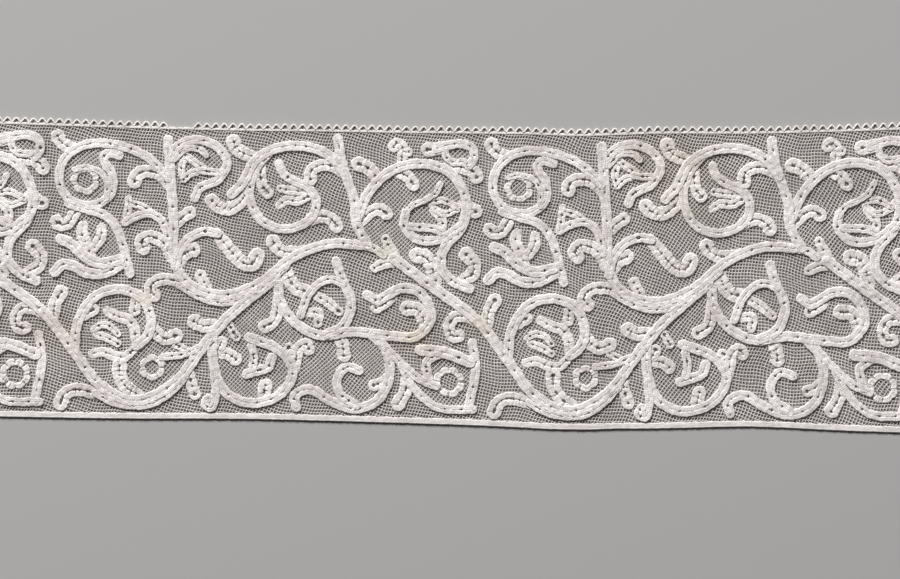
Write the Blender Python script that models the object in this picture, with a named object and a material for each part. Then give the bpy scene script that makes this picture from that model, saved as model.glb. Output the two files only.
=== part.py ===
"""A cut length of tape lace: a wide band with a scrolling leafy vine raised from its mesh ground.

The band lies flat with its underside at z = 0. It is three pieces: the lace cloth, the tape at its foot and
the edging of thread loops along its head. The pattern is charted in millimetres, u along the band and v up
from its foot, and repeats every REPEAT. Millimetres turn into metres only where a mesh is made.
"""

import math

import bmesh
import bpy
import numpy as np
from mathutils import Vector
from mathutils.geometry import delaunay_2d_cdt
from mathutils.kdtree import KDTree

# Sizes of the band, in millimetres.
LENGTH = 560.0
FIRST_U = -10.0
DEPTH = 176.0
REPEAT = 260.0
GAP = 0.3
CLOTH_FOOT_V = 4.0
CLOTH_HEAD_V = 175.4
GROUND_THICK = 1.0
BRAID_THICK = 1.8
BRAID_SLOPE = 0.8
TAPE_FOOT_V = 0.4
TAPE_THICK = 1.5
EDGING_THICK = 1.2

# The loops of the edging, in millimetres. Those over the worn stretch are lost.
HEADING_WIDTH = 1.0
LOOP_PITCH = 5.2
LOOP_HEIGHT = 3.4
LOOP_TIP = 1.3
LOOP_HOLE = 2.9
LOOP_HOLE_HEIGHT = 2.2
WORN_FROM_U = 103.0
WORN_TO_U = 116.0

# How finely the curves are read and cut, in millimetres.
EDGE_STEP = 20.0
SAMPLE = 0.5
TOLERANCE = 0.55
LONGEST_STEP = 22.0
CLOSEST = 0.6
HIDDEN_SLACK = 0.2
OUTSIDE_MARGIN = 8.0
MERGE_RELIEF = 0.05
MERGE_UNDERSIDE = 1e-5
CAP_STEP = 16
CAP_ANGLES = np.radians(np.arange(80, -81, -CAP_STEP))

# The band's two edges: u, then the y of the foot line and of the head line, in millimetres.
EDGES = (
    (-20, -83.2, 93.4),
    (0, -83.4, 93.0),
    (72, -84.6, 90.6),
    (144, -84.8, 88.8),
    (198, -86.0, 88.2),
    (252, -87.6, 87.3),
    (288, -88.8, 87.0),
    (324, -90.6, 86.4),
    (342, -91.6, 85.4),
    (360, -90.8, 85.8),
    (396, -90.6, 87.0),
    (450, -89.4, 87.0),
    (504, -91.8, 88.2),
    (540, -93.0, 89.4),
    (560, -93.4, 89.8),
)

# Stems: name, width, and the stations (u, v) that a smooth curve joins.
STEMS = (
    ("vine", 6.0, ((217, 107), (198, 107.5), (176, 99), (156, 83), (134, 75.5), (114, 81.5), (105, 96),
                   (104.5, 118), (102.5, 150), (101, 169))),
    ("vine_under", 4.5, ((108, 81), (118, 75), (130, 71), (142, 72), (158, 81.5), (172, 93.5))),
    ("vine_end", 5.0, ((214, 107), (224, 105.5), (230, 101.5))),
    ("long_stem", 6.5, ((236, 99.5), (262, 81), (286, 63.5), (304, 41), (320, 20.5), (341, 11), (365, 22),
                        (382, 44), (397, 62), (425, 86))),
    ("bowl_under", 4.5, ((57, 15.5), (68, 10), (80, 8), (92, 9.5), (103, 16.5), (111, 25))),
    ("scroll_a", 5.5, ((101, 146), (88, 158.5), (67, 165.5), (50, 164), (38.5, 155), (36, 141), (43, 130.5),
                       (57, 128.5), (67, 136), (67, 147.5), (60.5, 155), (65, 161), (71, 157.5))),
    ("scroll_a_stalk", 4.5, ((66.5, 139), (64, 146), (58, 150), (51, 151))),
    ("scroll_b", 5.5, ((41, 128), (56, 122), (70, 112), (75, 99), (77.5, 88))),
    ("scroll_b_low", 6.5, ((73, 93), (62, 87.5), (52, 87), (42, 92.5), (35.5, 92.5), (34.5, 87))),
    ("scroll_b_high", 6.5, ((72, 96), (60, 93.5), (50, 98), (43, 104.5), (38, 106))),
    ("scroll_c", 5.5, ((102.5, 158), (107, 165.5), (118, 169.5), (130, 165.5), (136.5, 156), (131, 145.5),
                       (120, 140), (117, 134))),
    ("scroll_c_in", 4.0, ((104.5, 157), (112, 163.8), (120, 163.5), (124, 160))),
    ("scroll_c_stalk", 5.5, ((134, 149), (127, 151), (120, 151))),
    ("arch_d", 5.0, ((104, 107), (100, 116), (92, 122), (83, 120.5), (76, 118))),
    ("arch_e", 5.5, ((105.5, 92), (107.5, 101), (113.5, 109.5), (123, 113.8), (131, 112.5))),
    ("riser", 6.0, ((203, 171), (205.5, 156), (213, 133), (214, 120), (221, 107))),
    ("scroll_f", 6.0, ((207, 149.5), (199, 160), (184, 166.2), (166, 165), (153, 157), (146, 144),
                       (139, 136.5))),
    ("scroll_f_in", 5.5, ((163, 164), (153.5, 152), (150, 136), (157, 121), (171, 116), (186, 122),
                          (190, 133), (185, 141), (175, 147), (168.5, 152.5))),
    ("scroll_g", 6.0, ((214.5, 124), (222, 140), (236, 153), (254, 157), (271, 151), (280, 134), (277, 119),
                       (266.5, 106), (265, 95), (271, 87), (282, 82))),
    ("scroll_g_in", 5.5, ((277, 120), (264, 111.5), (249, 112.5), (242, 122), (245, 132), (255, 136),
                          (261, 140), (264, 144.5))),
    ("scroll_g_arm", 5.0, ((246, 119), (254, 119), (262, 117.5), (264.5, 121.5), (262, 126))),
    ("crest", 5.5, ((262, 166), (268, 168), (275.5, 169.3), (283, 167), (284.5, 161), (281, 156))),
    ("crest_in", 4.5, ((267, 166), (268, 161), (272.5, 158), (278.5, 158.5))),
    ("scroll_h", 6.0, ((167, 84), (168.5, 72), (177, 59.5), (192, 52), (212, 54.5), (236, 52.5), (250, 53),
                       (259, 65), (252, 79), (241, 81.5), (233, 77.5), (226.5, 74), (220.5, 77))),
    ("ring_h", 6.0, ((196, 52.5), (206, 58), (211, 72), (205, 87), (202, 97))),
    ("ring_h_in", 5.0, ((206, 83.5), (198, 86), (191, 83), (185, 76), (180.5, 64))),
    ("scroll_i", 6.0, ((222, 54), (231, 45), (234, 30), (227, 14), (213, 8), (198, 12.5), (186, 19),
                       (177, 15), (178, 8))),
    ("scroll_i_in", 5.5, ((214, 10), (204, 17), (202.5, 26), (208, 33), (216, 31))),
    ("branch_j", 5.0, ((225, 53), (240, 37), (252, 27), (262, 23))),
    ("branch_j_low", 5.0, ((241, 35), (248, 22), (262, 10.5), (284, 9.5))),
    ("scroll_k", 7.0, ((252.5, 44.5), (266, 43.5), (282, 38))),
    ("scroll_k_left", 5.5, ((264, 43), (256, 37), (258, 25.5))),
    ("scroll_k_right", 5.5, ((283.5, 50), (285.5, 34), (281, 10))),
    ("scroll_l", 6.0, ((45, 41), (47, 58), (58, 74), (73, 78), (86, 72), (91, 59), (88.5, 50), (82, 44))),
    ("scroll_m", 6.0, ((128, 52), (128, 36), (135, 17), (150, 10), (168, 15.5), (176, 30), (168, 42),
                       (149.5, 50))),
    ("scroll_m_tail", 5.0, ((128.5, 28), (129.5, 14), (127, 6.9), (122.8, 9), (125, 13))),
    ("scroll_m_arm", 6.0, ((163.5, 38), (161, 32), (154, 29.5), (148, 27.5))),
    ("scroll_m_stalk", 5.0, ((151, 45), (152.5, 38), (151.5, 31))),
    ("bowl_stalk", 4.5, ((119, 43), (109, 39), (97, 37.5))),
)

# Petals and the arms of open calyxes, as the stems are given.
PETALS = (
    ("calyx_v_up", 6.0, ((239, 98), (234.5, 105), (231.5, 111))),
    ("calyx_v_low", 6.0, ((238, 97), (231, 96.5), (225, 93.5))),
    ("calyx_d_up", 5.0, ((92, 124), (85, 128.5), (79, 130))),
    ("calyx_d_back", 5.0, ((77.5, 133), (77, 126), (75.5, 118))),
    ("calyx_c_up", 5.0, ((122, 152.5), (116.5, 156), (111.5, 160))),
    ("calyx_c_low", 5.0, ((121, 150.5), (115, 149), (110.5, 145))),
    ("calyx_c_back", 4.5, ((111.5, 159.5), (109, 152), (110.5, 145))),
    ("tulip_b_left", 6.5, ((50, 116), (49.5, 111), (53, 103), (56, 94))),
    ("tulip_b_right", 6.0, ((61, 115), (61, 110), (57, 103))),
    ("tulip_f_middle", 6.0, ((183, 138), (176, 141), (170.5, 142))),
    ("tulip_f_low", 6.0, ((168.5, 131.5), (175, 134), (183, 133.5))),
    ("tulip_g_over", 5.0, ((258, 134.5), (266, 135.2), (275, 131))),
    ("tulip_g_under", 5.0, ((260, 132), (266, 127.8), (275, 130))),
    ("tulip_h_right", 5.5, ((188, 77), (196, 72.5), (203.5, 66.5))),
    ("tulip_h_middle", 5.5, ((185, 65.5), (191, 65.5), (191, 59))),
    ("tulip_l_top", 6.5, ((66, 63.5), (73, 60.5), (80, 56), (82.5, 46))),
    ("tulip_l_high", 5.0, ((57, 55), (64, 56.5), (70, 51.5))),
    ("tulip_l_low", 6.0, ((58, 51), (64, 49.5), (68, 46), (73, 44.5))),
    ("tulip_l_foot", 5.5, ((55.5, 40), (62, 40), (69, 37.5), (76, 37.5))),
)

# Leaves: width, and the stations (u, v) from the root to the middle of the curled tip.
LEAVES = (
    (8.0, ((45, 162.5), (40, 163.5), (36, 166.5), (35, 169))),
    (8.0, ((100, 138), (94, 146.5), (86.5, 149.5), (80.5, 147.5), (79, 144.5))),
    (8.5, ((103, 96), (99, 104.5), (92, 108.5), (86, 105.5), (84.5, 102))),
    (7.5, ((106.5, 116), (110, 121), (113.5, 123.5))),
    (9.0, ((130, 113), (135, 106.5), (140, 100.5), (146, 95), (151.5, 94.5), (154.5, 99.5))),
    (8.5, ((108, 95), (111, 100), (116, 102.5))),
    (7.5, ((112, 80.5), (104, 83.5), (97, 82.5), (92.5, 77.5))),
    (8.0, ((60, 14), (52, 16.5), (44, 17), (38.5, 13.5), (36.5, 8.5))),
    (8.5, ((84, 14.5), (77, 18), (72.5, 25), (72, 32))),
    (7.0, ((113, 33), (114.5, 25), (116.5, 17.5))),
    (4.5, ((113, 41), (106, 45))),
    (7.0, ((48, 60), (52, 63), (56, 65.5))),
    (7.0, ((85.5, 75.5), (83, 71.5), (82, 68))),
    (8.0, ((91, 58), (94.5, 51.5), (100, 48.5), (106, 50.5))),
    (8.0, ((47, 126), (42, 121.5), (36.5, 117.5))),
    (8.0, ((147, 138), (141, 132), (134.5, 129), (128, 131.5))),
    (5.0, ((138, 131), (133.5, 126.5))),
    (7.0, ((157, 156), (156.5, 148), (158, 141.5), (160.5, 138))),
    (8.5, ((152, 160), (146.5, 161.5), (142, 164.5), (140.5, 168.5))),
    (8.0, ((183, 119), (188.5, 123), (195, 124), (200, 121.5), (202, 118.5))),
    (7.5, ((206, 150.5), (198, 153.5), (191.5, 152.5), (187.5, 147.5))),
    (8.0, ((186, 104), (177, 102), (170, 102.5), (165.5, 105.5), (164, 108.5))),
    (8.0, ((268, 155.5), (277, 155), (284, 152.5), (286, 149.5))),
    (8.0, ((269, 168), (262, 166), (257, 165.5))),
    (6.5, ((241, 156), (241.5, 162), (241.5, 167), (238, 169), (236.5, 167))),
    (5.0, ((241, 163), (245, 164))),
    (8.5, ((227, 146.5), (223.5, 151.5), (219.5, 154.5), (215.5, 156))),
    (7.5, ((217, 121), (222, 127), (228, 129), (232, 126.5))),
    (7.5, ((238, 151.5), (244, 149.5), (248, 144.5))),
    (7.5, ((277, 133), (282, 131), (285.5, 128.5))),
    (8.5, ((277, 87.5), (283.5, 91), (284.5, 97), (280, 102.5))),
    (9.0, ((262, 86), (259, 95), (255.5, 100.5), (250.5, 101.5))),
    (7.5, ((288, 62), (280, 64), (273.5, 63), (271, 58.5), (274.5, 54.5))),
    (8.0, ((292.5, 60), (293.5, 69), (297, 75.5))),
    (6.5, ((236, 76), (230, 71.5), (226, 69.5))),
    (8.5, ((254, 58), (251.5, 65), (246.5, 66.5))),
    (7.5, ((233.5, 29), (228, 25.5))),
    (8.0, ((203, 51), (206, 46), (206.5, 40.5))),
    (8.0, ((244, 30), (243.5, 20), (239, 11.5))),
    (8.5, ((167, 75), (166, 66), (162, 59))),
    (8.0, ((174, 92), (174.5, 84), (180, 77.5))),
    (8.5, ((130, 57.5), (122, 56.5), (117, 59))),
    (5.0, ((136, 61), (139, 55), (142, 50))),
    (8.0, ((176, 28), (176, 36), (179.5, 43.5), (187, 46))),
    (7.5, ((131, 40), (137, 39.5), (141.5, 36.5))),
    (7.0, ((130.5, 41), (133, 46.5))),
    (8.0, ((158, 13), (159.5, 20.5))),
)

# Open-centred rosettes: centre u, centre v, ring radius, ring width, petals.
ROSETTES = (
    (50, 143.5, 6.6, 4.6, 7),
    (269.5, 27, 7.0, 4.8, 8),
    (90, 30.5, 5.6, 4.4, 6),
)
PETAL_SWELL = 0.42

# A leaf's width along it, as shares of its charted width and of its length.
LEAF_ROOT = 0.72
LEAF_OPENING = 0.26
LEAF_OPEN_BY = 0.35
LEAF_TIP = 0.1
LEAF_TIP_AT = 0.95
LEAF_TIP_SPREAD = 0.14


def edge_lines():
    """The foot and head lines as straight runs of EDGE_STEP between places read from smooth curves."""
    table = np.array(EDGES, float)
    foot = smooth(table[:, [0, 1]])
    head = smooth(table[:, [0, 2]])
    u = np.arange(FIRST_U, FIRST_U + LENGTH + EDGE_STEP / 2, EDGE_STEP)
    return u, np.interp(u, foot[:, 0], foot[:, 1]), np.interp(u, head[:, 0], head[:, 1])


def smooth(stations):
    """A smooth curve through the stations, a centripetal Catmull-Rom spline, in steps of about SAMPLE."""
    p = np.array(stations, float)
    p = np.vstack([2 * p[0] - p[1], p, 2 * p[-1] - p[-2]])
    runs = []
    for a, b, c, d in zip(p[:-3], p[1:-2], p[2:-1], p[3:]):
        t0 = 0.0
        t1 = t0 + math.sqrt(np.linalg.norm(b - a))
        t2 = t1 + math.sqrt(np.linalg.norm(c - b))
        t3 = t2 + math.sqrt(np.linalg.norm(d - c))
        count = max(2, int(np.linalg.norm(c - b) / SAMPLE))
        t = np.linspace(t1, t2, count, endpoint=False)[:, None]
        ab = ((t1 - t) * a + (t - t0) * b) / (t1 - t0)
        bc = ((t2 - t) * b + (t - t1) * c) / (t2 - t1)
        cd = ((t3 - t) * c + (t - t2) * d) / (t3 - t2)
        abc = ((t2 - t) * ab + (t - t0) * bc) / (t2 - t0)
        bcd = ((t3 - t) * bc + (t - t1) * cd) / (t3 - t1)
        runs.append(((t2 - t) * abc + (t - t1) * bcd) / (t2 - t1))
    return np.vstack(runs + [p[-2:-1]])


def leaf_halves(width, count):
    """Half a leaf's width along it: narrow at its root, full from LEAF_OPEN_BY, and fullest in its curled tip."""
    share = np.linspace(0, 1, count)
    opening = np.sin(math.pi / 2 * np.minimum(1, share / LEAF_OPEN_BY))
    tip = np.exp(-((share - LEAF_TIP_AT) / LEAF_TIP_SPREAD) ** 2)
    return width / 2 * (LEAF_ROOT + LEAF_OPENING * opening + LEAF_TIP * tip)


def rosette_line(u, v, radius, width, petals):
    """A rosette's ring as a closed line with half its width: its outer side swells at each petal."""
    angle = np.linspace(0, 2 * math.pi, int(2 * math.pi * radius / SAMPLE), endpoint=False)
    swell = PETAL_SWELL * width / 2 * np.cos(petals * angle)
    reach = radius + swell
    line = np.stack([u + reach * np.cos(angle), v + reach * np.sin(angle)], axis=1)
    return line, width / 2 + swell


def braids():
    """Every braid of the band as (middle line, half widths, closed), repeated along its length."""
    chart = []
    for _, width, stations in STEMS + PETALS:
        line = smooth(stations)
        chart.append((line, np.full(len(line), width / 2), False))
    for width, stations in LEAVES:
        line = smooth(stations)
        chart.append((line, leaf_halves(width, len(line)), False))
    for row in ROSETTES:
        line, halves = rosette_line(*row)
        chart.append((line, halves, True))
    low, high = FIRST_U - OUTSIDE_MARGIN, FIRST_U + LENGTH + OUTSIDE_MARGIN
    found = []
    for turn in range(-2, 3):
        for line, halves, closed in chart:
            moved = line + [turn * REPEAT, 0]
            if moved[:, 0].max() > low and moved[:, 0].min() < high:
                found.append((moved, halves, closed))
    return found


def loops_of(line, halves, closed, inset):
    """The outline of one braid, drawn in by inset, as closed loops of points with round ends."""
    if closed:
        ahead = np.roll(line, -1, axis=0) - np.roll(line, 1, axis=0)
    else:
        ahead = np.gradient(line, axis=0)
    ahead /= np.linalg.norm(ahead, axis=1)[:, None]
    left = np.stack([-ahead[:, 1], ahead[:, 0]], axis=1)
    wide = (halves - inset)[:, None]
    left_side = line + wide * left
    right_side = line - wide * left
    if closed:
        return [left_side, right_side]
    caps = []
    for end, outward in ((-1, 1), (0, -1)):
        way = outward * (np.outer(np.cos(CAP_ANGLES), ahead[end]) + np.outer(np.sin(CAP_ANGLES), left[end]))
        caps.append(line[end] + (halves[end] - inset) * way)
    return [np.vstack([left_side, caps[0], right_side[::-1], caps[1]])]


class Braiding:
    """All the braids' middle lines, which tell how deep in a braid a point lies."""

    def __init__(self, strokes):
        """Sorts the points of all middle lines, with the half width at each."""
        lines = np.vstack([line for line, _, _ in strokes])
        self.halves = np.concatenate([half for _, half, _ in strokes])
        self.widest = float(self.halves.max())
        self.tree = KDTree(len(lines))
        for index, (u, v) in enumerate(lines):
            self.tree.insert((u, v, 0.0), index)
        self.tree.balance()

    def lift(self, points):
        """Each point's depth in the braids, in slope widths: 0 on an outline, 1 on a crown's edge."""
        depths = []
        for u, v in points:
            near = self.tree.find_range((u, v, 0.0), self.widest)
            depths.append(max((self.halves[index] - away for _, index, away in near), default=-1.0))
        return np.array(depths) / BRAID_SLOPE

    def hides(self, points, level):
        """Which points lie deeper than the level, or too near the cloth's foot or head to be cut."""
        deep = self.lift(points) > level + HIDDEN_SLACK
        return deep | (points[:, 1] < CLOTH_FOOT_V + CLOSEST) | (points[:, 1] > CLOTH_HEAD_V - CLOSEST)


def seen_runs(loop, hidden):
    """The stretches of a closed loop that aren't hidden, each as a row of points."""
    if not hidden.any():
        return [np.vstack([loop, loop[:1]])]
    start = int(np.flatnonzero(hidden)[0])
    loop = np.roll(loop, -start, axis=0)
    seen = np.append(~np.roll(hidden, -start), False).astype(int)
    edges = np.flatnonzero(np.diff(seen))
    return [loop[first + 1:last + 1] for first, last in zip(edges[::2], edges[1::2])]


def thinned(run):
    """The points of a run that its shape needs, by the Douglas and Peucker rule."""
    kept = {0, len(run) - 1}
    spans = [(0, len(run) - 1)]
    while spans:
        first, last = spans.pop()
        if last - first < 2:
            continue
        chord = run[last] - run[first]
        long = float(np.linalg.norm(chord))
        off = run[first + 1:last] - run[first]
        if long < TOLERANCE:
            away = np.linalg.norm(off, axis=1)
        else:
            away = np.abs(off[:, 0] * chord[1] - off[:, 1] * chord[0]) / long
        if away.max() > TOLERANCE or long > LONGEST_STEP:
            split = first + 1 + int(away.argmax())
            if away.max() <= TOLERANCE:
                split = (first + last) // 2
            kept.add(split)
            spans += [(first, split), (split, last)]
    return run[sorted(kept)]


def cloth_outline(edge_u):
    """The cloth's outline in u and v: along its foot, then back along its head."""
    foot = np.stack([edge_u, np.full(len(edge_u), CLOTH_FOOT_V)], axis=1)
    head = np.stack([edge_u[::-1], np.full(len(edge_u), CLOTH_HEAD_V)], axis=1)
    return np.vstack([foot, head])


class Chart:
    """Points and the edges between them, with points closer than CLOSEST joined into one."""

    def __init__(self, outline):
        """Starts with the points of the cloth's outline."""
        self.points = [tuple(p) for p in outline]
        self.edges = set()
        self.cells = {}
        for index, point in enumerate(self.points):
            self.cells.setdefault(self.cell(point), []).append(index)

    def cell(self, point):
        """The square of the sorting grid that holds a point."""
        return (int(point[0] // CLOSEST), int(point[1] // CLOSEST))

    def add(self, point):
        """The index of a point, which is an older one if one lies close by."""
        column, row = self.cell(point)
        for i in (column - 1, column, column + 1):
            for j in (row - 1, row, row + 1):
                for index in self.cells.get((i, j), ()):
                    if math.dist(self.points[index], point) < CLOSEST:
                        return index
        self.points.append(tuple(point))
        self.cells.setdefault((column, row), []).append(len(self.points) - 1)
        return len(self.points) - 1

    def add_run(self, run):
        """Adds a row of points and the edges between them."""
        indices = [self.add(point) for point in run]
        for a, b in zip(indices[:-1], indices[1:]):
            if a != b:
                self.edges.add((min(a, b), max(a, b)))


def relief_surface(edge_u):
    """The cloth's upper surface in u, v and z, with its triangles: braids raised from the ground."""
    strokes = braids()
    braiding = Braiding(strokes)
    outline = cloth_outline(edge_u)
    chart = Chart(outline)
    for inset, level in ((0.0, 0.0), (BRAID_SLOPE, 1.0)):
        for line, half, closed in strokes:
            for loop in loops_of(line, half, closed, inset):
                for run in seen_runs(loop, braiding.hides(loop, level)):
                    chart.add_run(thinned(run))
    flat, _, faces, _, _, _ = delaunay_2d_cdt(
        [Vector(p) for p in chart.points], sorted(chart.edges), [list(range(len(outline)))], 1, MERGE_RELIEF
    )
    flat = np.array([tuple(p) for p in flat])
    faces = np.array([tuple(face) for face in faces])
    middle = flat[faces].mean(axis=1)[:, 0]
    faces = faces[(middle > FIRST_U) & (middle < FIRST_U + LENGTH)]
    used, faces = np.unique(faces, return_inverse=True)
    flat = flat[used]
    lift = np.clip(braiding.lift(flat), 0, 1)
    height = GROUND_THICK + (BRAID_THICK - GROUND_THICK) * lift
    return flat, height, [tuple(int(i) for i in face) for face in faces.reshape(-1, 3)]


def rim_of(faces):
    """The border of a sheet of triangles as one loop of indices, in the triangles' own sense."""
    ways = {(a, b) for face in faces for a, b in zip(face, face[1:] + face[:1])}
    after = {a: b for a, b in ways if (b, a) not in ways}
    loop = [min(after)]
    while after[loop[-1]] != loop[0]:
        loop.append(after[loop[-1]])
    return loop


def closed_solid(name, flat, height, faces, material, place):
    """A solid with the given upper surface, a flat underside at z = 0 and upright sides."""
    rim = rim_of(faces)
    corners = [Vector(flat[i]) for i in rim]
    _, _, under, origin, _, _ = delaunay_2d_cdt(corners, [], [list(range(len(rim)))], 1, MERGE_UNDERSIDE)
    count = len(flat)
    upper = np.column_stack([place(flat), height])
    lower = np.column_stack([place(flat[rim]), np.zeros(len(rim))])
    found = list(faces)
    for a in range(len(rim)):
        b = (a + 1) % len(rim)
        found += [(rim[b], rim[a], count + a), (rim[b], count + a, count + b)]
    found += [tuple(count + origin[i][0] for i in reversed(face)) for face in under]
    return make_object(name, np.vstack([upper, lower]), found, material)


def make_object(name, points, faces, material):
    """One object from points in millimetres, with its faces turned outwards."""
    mesh = bpy.data.meshes.new(name)
    mesh.from_pydata((np.asarray(points) / 1000).tolist(), [], faces)
    work = bmesh.new()
    work.from_mesh(mesh)
    bmesh.ops.recalc_face_normals(work, faces=work.faces)
    work.to_mesh(mesh)
    work.free()
    mesh.materials.append(material)
    piece = bpy.data.objects.new(name, mesh)
    bpy.context.scene.collection.objects.link(piece)
    return piece


def flat_solid(name, chart, panels, thick, material, place):
    """A flat piece thick millimetres high from points in u and v and panels that share their corners."""
    flat = place(np.array(chart, float))
    count = len(flat)
    points = np.vstack([np.column_stack([flat, np.full(count, z)]) for z in (0.0, thick)])
    ways = {(a, b) for panel in panels for a, b in zip(panel, panel[1:] + panel[:1])}
    faces = [tuple(reversed(panel)) for panel in panels]
    faces += [tuple(count + i for i in panel) for panel in panels]
    faces += [(a, b, count + b, count + a) for a, b in sorted(ways) if (b, a) not in ways]
    return make_object(name, points, faces, material)


def foot_tape(edge_u, material, place):
    """The woven tape along the foot, GAP below the cloth."""
    chart = []
    for u in edge_u:
        chart += [(u, TAPE_FOOT_V), (u, CLOTH_FOOT_V - GAP)]
    panels = [(i, i + 2, i + 3, i + 1) for i in range(0, len(chart) - 2, 2)]
    return flat_solid("foot_tape", chart, panels, TAPE_THICK, material, place)


def loop_edging(material, place):
    """The heading cord with its row of thread loops, each a triangle with a hole, as one flat piece."""
    low = CLOTH_HEAD_V + GAP
    high = low + HEADING_WIDTH
    count = int((LENGTH - 1.0) / LOOP_PITCH)
    first = FIRST_U + (LENGTH - count * LOOP_PITCH) / 2
    chart = [(FIRST_U, low), (FIRST_U, high), (first, low), (first, high)]
    panels = [(0, 2, 3, 1)]
    left_low, left_high = 2, 3
    for middle in first + LOOP_PITCH * (np.arange(count) + 0.5):
        right_low = len(chart)
        right_high = right_low + 1
        chart += [(middle + LOOP_PITCH / 2, low), (middle + LOOP_PITCH / 2, high)]
        if WORN_FROM_U < middle < WORN_TO_U:
            panels.append((left_low, right_low, right_high, left_high))
        else:
            hole_left, hole_right, hole_top, tip_left, tip_right = range(right_high + 1, right_high + 6)
            chart += [
                (middle - LOOP_HOLE / 2, high),
                (middle + LOOP_HOLE / 2, high),
                (middle, high + LOOP_HOLE_HEIGHT),
                (middle - LOOP_TIP / 2, high + LOOP_HEIGHT),
                (middle + LOOP_TIP / 2, high + LOOP_HEIGHT),
            ]
            panels += [
                (left_low, right_low, right_high, hole_right, hole_left, left_high),
                (left_high, hole_left, hole_top, tip_left),
                (hole_right, right_high, tip_right, hole_top),
                (hole_top, tip_right, tip_left),
            ]
        left_low, left_high = right_low, right_high
    last_low = len(chart)
    chart += [(FIRST_U + LENGTH, low), (FIRST_U + LENGTH, high)]
    panels.append((left_low, last_low, last_low + 1, left_high))
    return flat_solid("loop_edging", chart, panels, EDGING_THICK, material, place)


def material_of(name, colour, roughness):
    """A plain thread material."""
    material = bpy.data.materials.new(name)
    material.use_nodes = True
    shader = material.node_tree.nodes["Principled BSDF"]
    shader.inputs["Base Color"].default_value = (*colour, 1.0)
    shader.inputs["Roughness"].default_value = roughness
    shader.inputs["Metallic"].default_value = 0.0
    return material


def main():
    """Models the three pieces, centred on the origin and lying on z = 0."""
    for old in list(bpy.data.objects):
        bpy.data.objects.remove(old, do_unlink=True)
    edge_u, foot, head = edge_lines()

    def on_table(points):
        """The plan place of points given in u and v, centred along the band."""
        u, v = points[:, 0], points[:, 1]
        low = np.interp(u, edge_u, foot)
        high = np.interp(u, edge_u, head)
        return np.stack([u - FIRST_U - LENGTH / 2, low + (high - low) * v / DEPTH], axis=1)

    linen = material_of("linen_braid_and_mesh", (0.76, 0.71, 0.68), 0.9)
    tape = material_of("linen_foot_tape", (0.80, 0.75, 0.72), 0.9)
    thread = material_of("linen_loop_thread", (0.82, 0.78, 0.75), 0.85)
    flat, height, faces = relief_surface(edge_u)
    pieces = [
        closed_solid("lace_cloth", flat, height, faces, linen, on_table),
        foot_tape(edge_u, tape, on_table),
        loop_edging(thread, on_table),
    ]
    across = [vertex.co.y for piece in pieces for vertex in piece.data.vertices]
    shift = (min(across) + max(across)) / 2
    for piece in pieces:
        for vertex in piece.data.vertices:
            vertex.co.y -= shift


main()
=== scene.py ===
"""A flat length of tape lace, seen from straight above on a pale table.

The ground is a net of real threads, laid out compartment by compartment. Woven tapes of two strands,
which lap in the middle and part round pinholes, make the stems, leaves and petals over it, with joined
rosettes. A tape runs along the foot, and a narrow braid with thread loops along the head. The pattern is
charted in millimetres, u along the band and v up from its foot, and on_table turns millimetres of the
chart into metres of the frame.
"""

import math

import bpy
import numpy as np
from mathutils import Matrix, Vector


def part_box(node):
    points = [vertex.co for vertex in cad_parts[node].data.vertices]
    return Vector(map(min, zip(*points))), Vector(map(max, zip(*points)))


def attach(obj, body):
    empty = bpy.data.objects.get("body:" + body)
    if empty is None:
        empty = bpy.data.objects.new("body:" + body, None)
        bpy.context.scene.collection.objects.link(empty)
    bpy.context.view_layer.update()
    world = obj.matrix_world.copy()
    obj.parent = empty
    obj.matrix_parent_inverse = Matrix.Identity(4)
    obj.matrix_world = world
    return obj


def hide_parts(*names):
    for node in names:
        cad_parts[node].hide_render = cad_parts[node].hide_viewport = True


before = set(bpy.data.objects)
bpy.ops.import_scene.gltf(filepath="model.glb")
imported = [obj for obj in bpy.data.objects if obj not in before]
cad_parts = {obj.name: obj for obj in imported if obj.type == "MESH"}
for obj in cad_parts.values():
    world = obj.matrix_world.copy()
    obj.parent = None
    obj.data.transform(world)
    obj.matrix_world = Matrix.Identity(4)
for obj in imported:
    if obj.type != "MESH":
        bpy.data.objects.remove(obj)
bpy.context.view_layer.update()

# Sizes of the band, in millimetres.
LENGTH = 560.0
FIRST_U = -10.0
DEPTH = 176.0
REPEAT = 260.0
GAP = 0.3
CLOTH_FOOT_V = 4.0
CLOTH_HEAD_V = 175.4
TAPE_FOOT_V = 0.4
HEADING_WIDTH = 1.0
LOOP_PITCH = 5.2
LOOP_HEIGHT = 3.4
WORN_FROM_U = 103.0
WORN_TO_U = 116.0

# Heights above the table, in millimetres. A leaf's root has LEAF_ROOT_TOP of its full height and rises over
# ROOT_RISE of its length. STEP_UP sets neighbouring tapes a little above each other.
UNDERSIDE = 0.05
NET_MIDDLE = 0.75
TAPE_TOP = 1.65
LEAF_TOP = 1.5
LEAF_ROOT_TOP = 0.6
ROOT_RISE = 0.3
STEP_UP = 0.04
FOOT_TOP = 1.25
HEADING_TOP = 1.15
CORD_MIDDLE = 0.72

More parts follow.
